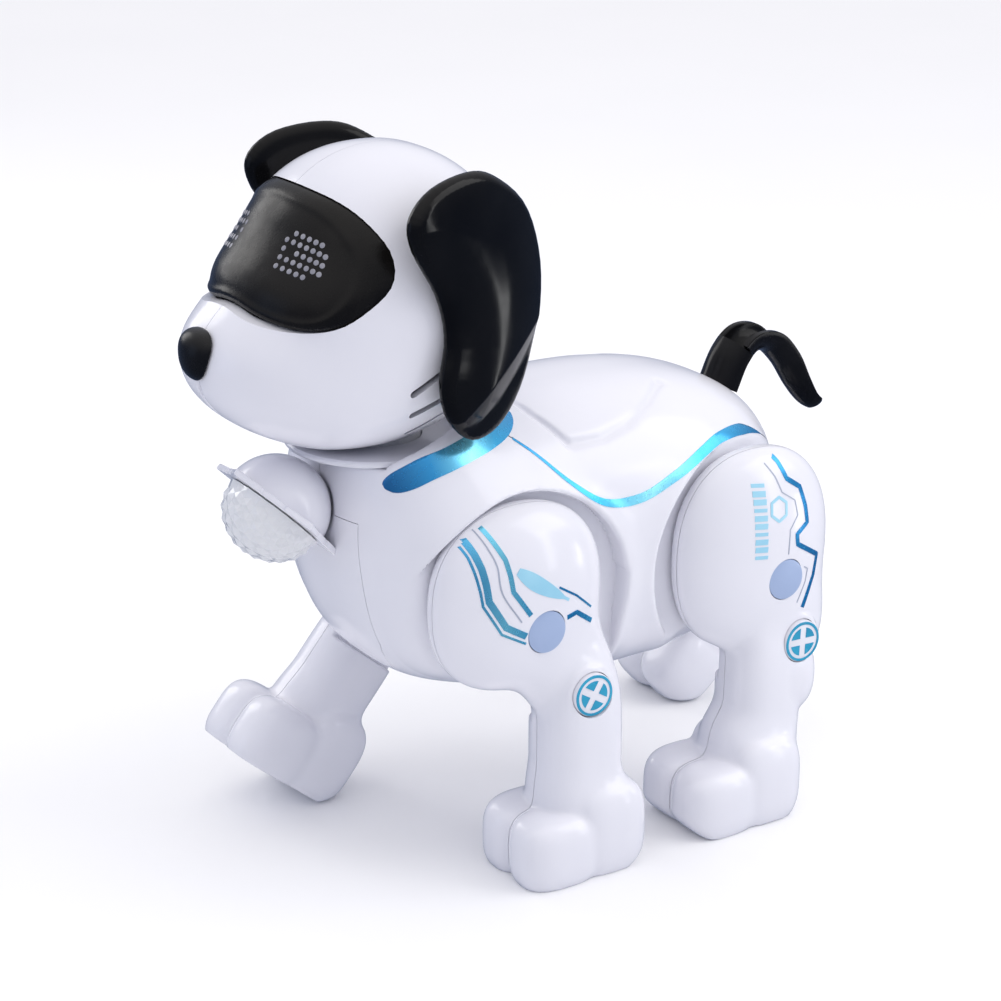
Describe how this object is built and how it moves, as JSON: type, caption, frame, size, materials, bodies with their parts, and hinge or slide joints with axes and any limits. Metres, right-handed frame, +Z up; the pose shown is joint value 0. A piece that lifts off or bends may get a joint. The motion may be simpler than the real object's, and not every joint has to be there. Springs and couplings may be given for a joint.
{
  "type": "robot dog toy",
  "caption": "Walking robot dog toy: jointed white plastic body and legs, turning head with a dark eye visor, floppy ears, curled tail and a clear chest lamp.",
  "frame": {"origin": "on the ground, at the middle of the dog's length and width", "axes": "+X to the dog's left, -Y towards the nose, +Z up"},
  "size_m": [0.1288, 0.2519, 0.2385],
  "materials": {
    "white_shell": "glossy white moulded ABS with soft reflections",
    "lilac_cap": "flat periwinkle plastic cap",
    "badge": "raised white disc with a blue quartered ring",
    "black_gloss": "glossy black moulded plastic",
    "black_satin": "satin black plastic",
    "visor": "smoked glossy black window",
    "tail_rubber": "glossy black soft rubber",
    "clear_lens": "clear faceted polycarbonate",
    "blue_foil": "blue metallic hot-stamped foil",
    "led_board": "dot-matrix board with pale grey-white lit dots",
    "circuit_board": "green solder mask",
    "battery_wrap": "blue shrink wrap",
    "speaker_cone": "dark paper cone",
    "nylon": "natural nylon",
    "motor_steel": "plain drawn steel can"
  },
  "bodies": {
    "root": {"body_shell_left": "white_shell", "body_shell_right": "white_shell", "back_cover": "white_shell", "trim_stripe_left": "blue_foil", "trim_stripe_right": "blue_foil", "chest_panel": "white_shell", "battery_cover": "white_shell", "charge_socket": "black_gloss", "neck_ring": "white_shell", "lamp_housing": "white_shell", "lamp_lens": "clear_lens", "lamp_board": "circuit_board", "tail": "tail_rubber", "main_board": "circuit_board", "battery_pack": "battery_wrap", "speaker": "speaker_cone", "hip_motor_front_left": "motor_steel", "hip_motor_front_right": "motor_steel", "hip_motor_rear_left": "motor_steel", "hip_motor_rear_right": "motor_steel"},
    "head": {"head_shell_left": "white_shell", "head_shell_right": "white_shell", "face_visor": "visor", "eye_board": "led_board", "nose": "black_satin", "ear_left": "black_gloss", "ear_right": "black_gloss", "neck_post": "nylon"},
    "switch": {"power_switch": "black_gloss"},
    "leg_front_left": {"leg_outer_front_left": "white_shell", "leg_inner_front_left": "white_shell", "hip_cap_front_left": "lilac_cap", "knee_badge_front_left": "badge", "hip_gear_front_left": "nylon"},
    "pinion_front_left": {"pinion_front_left": "nylon"},
    "leg_front_right": {"leg_outer_front_right": "white_shell", "leg_inner_front_right": "white_shell", "hip_cap_front_right": "lilac_cap", "knee_badge_front_right": "badge", "hip_gear_front_right": "nylon"},
    "pinion_front_right": {"pinion_front_right": "nylon"},
    "leg_rear_left": {"leg_outer_rear_left": "white_shell", "leg_inner_rear_left": "white_shell", "hip_cap_rear_left": "lilac_cap", "knee_badge_rear_left": "badge", "hip_gear_rear_left": "nylon"},
    "pinion_rear_left": {"pinion_rear_left": "nylon"},
    "leg_rear_right": {"leg_outer_rear_right": "white_shell", "leg_inner_rear_right": "white_shell", "hip_cap_rear_right": "lilac_cap", "knee_badge_rear_right": "badge", "hip_gear_rear_right": "nylon"},
    "pinion_rear_right": {"pinion_rear_right": "nylon"}
  },
  "joints": [
    {"name": "head_turn", "type": "hinge", "parent": "root", "child": "head", "pos_m": [0, -0.05915, 0.1455], "axis": [0, 0, 1], "range_deg": [-30, 30]},
    {"name": "switch_slide", "type": "slide", "parent": "root", "child": "switch", "axis": [0, 1, 0], "range_m": [0, 0.003]},
    {"name": "front_left_hip", "type": "hinge", "parent": "root", "child": "leg_front_left", "pos_m": [0, -0.03285, 0.0895], "axis": [-1, 0, 0], "range_deg": [-5, 45]},
    {"name": "front_left_pinion_spin", "type": "hinge", "parent": "root", "child": "pinion_front_left", "pos_m": [0, -0.01185, 0.0895], "axis": [-1, 0, 0], "range_deg": [-91, 11]},
    {"name": "front_right_hip", "type": "hinge", "parent": "root", "child": "leg_front_right", "pos_m": [0, -0.03285, 0.0895], "axis": [-1, 0, 0], "range_deg": [-45, 5]},
    {"name": "front_right_pinion_spin", "type": "hinge", "parent": "root", "child": "pinion_front_right", "pos_m": [0, -0.01185, 0.0895], "axis": [-1, 0, 0], "range_deg": [-11, 91]},
    {"name": "rear_left_hip", "type": "hinge", "parent": "root", "child": "leg_rear_left", "pos_m": [0, 0.06325, 0.0865], "axis": [-1, 0, 0], "range_deg": [-45, 5]},
    {"name": "rear_left_pinion_spin", "type": "hinge", "parent": "root", "child": "pinion_rear_left", "pos_m": [0, 0.04225, 0.0865], "axis": [-1, 0, 0], "range_deg": [-11, 91]},
    {"name": "rear_right_hip", "type": "hinge", "parent": "root", "child": "leg_rear_right", "pos_m": [0, 0.06325, 0.0865], "axis": [-1, 0, 0], "range_deg": [-4, 46]},
    {"name": "rear_right_pinion_spin", "type": "hinge", "parent": "root", "child": "pinion_rear_right", "pos_m": [0, 0.04225, 0.0865], "axis": [-1, 0, 0], "range_deg": [-93, 9]}
  ],
  "couplings": [
    {"joint": "front_left_pinion_spin", "follows": "front_left_hip", "ratio": -2},
    {"joint": "front_right_pinion_spin", "follows": "front_right_hip", "ratio": -2},
    {"joint": "rear_left_pinion_spin", "follows": "rear_left_hip", "ratio": -2},
    {"joint": "rear_right_pinion_spin", "follows": "rear_right_hip", "ratio": -2}
  ]
}
